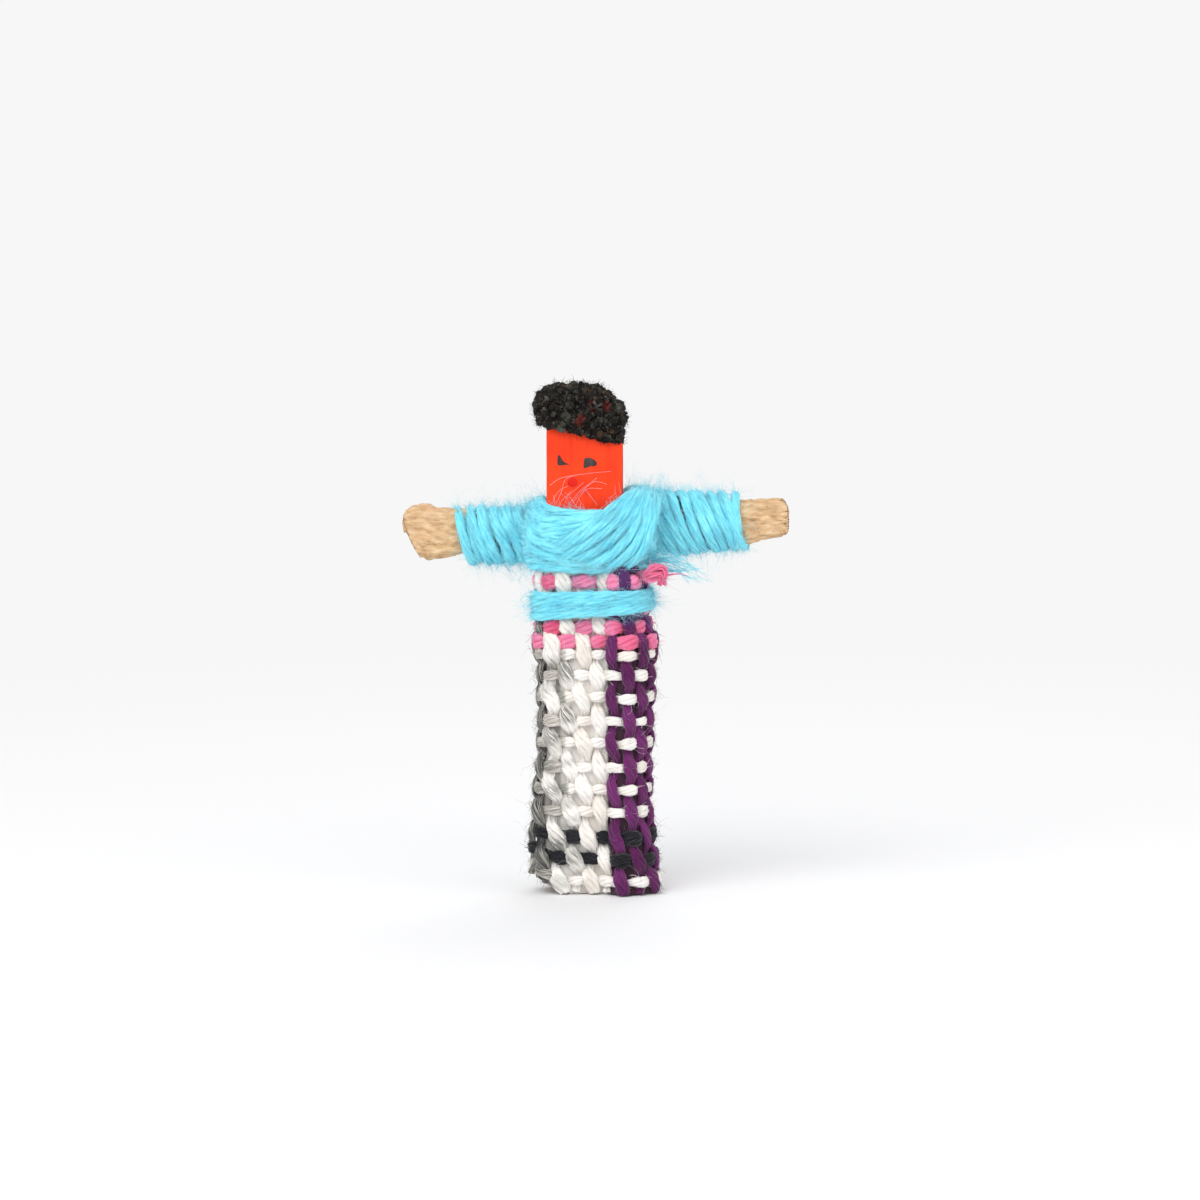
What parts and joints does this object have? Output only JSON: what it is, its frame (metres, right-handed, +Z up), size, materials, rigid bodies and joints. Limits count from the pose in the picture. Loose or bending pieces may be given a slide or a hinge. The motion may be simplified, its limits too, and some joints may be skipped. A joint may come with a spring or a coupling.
{
  "type": "worry doll",
  "caption": "Tiny standing doll of crossed wood splints bound with blue yarn, with a painted face, a crumbled black hair cap and a rolled hand-woven cloth skirt.",
  "frame": {"origin": "under the middle of the doll's box, on the surface that its hem stands on", "axes": "+Z up from the hem to the hair, +X to the right of someone facing the doll, +Y to its back"},
  "size_m": [0.0202, 0.006, 0.0265],
  "materials": {
    "bare_wood": "coarse split wood, unfinished, with short dark grain streaks",
    "face_paint": "orange-red acrylic paint, satin, over wood grain",
    "eye_paint": "dark brown-black paint dab",
    "mouth_paint": "red paint dab",
    "hair_crumb": "crumbled black wool dust set in glue, with grey, brown and dark red flecks",
    "blue_yarn": "soft fuzzy sky-blue yarn",
    "woven_cotton": "coarse plain-woven cotton in white, purple, black, grey marl and pink",
    "pink_cotton": "frayed pink cotton thread"
  },
  "bodies": {
    "root": {"body_stick": "bare_wood", "arm_stick": "bare_wood", "head_paint": "face_paint", "left_eye": "eye_paint", "right_eye": "eye_paint", "mouth": "mouth_paint", "hair": "hair_crumb", "chest_inner_yarn": "blue_yarn", "left_sleeve_yarn": "blue_yarn", "right_sleeve_yarn": "blue_yarn", "chest_lower_wrap": "blue_yarn", "chest_under_wrap": "blue_yarn", "chest_over_wrap": "blue_yarn", "skirt_cloth": "woven_cotton", "weft_tuft": "pink_cotton", "belt_yarn": "blue_yarn"}
  },
  "joints": []
}
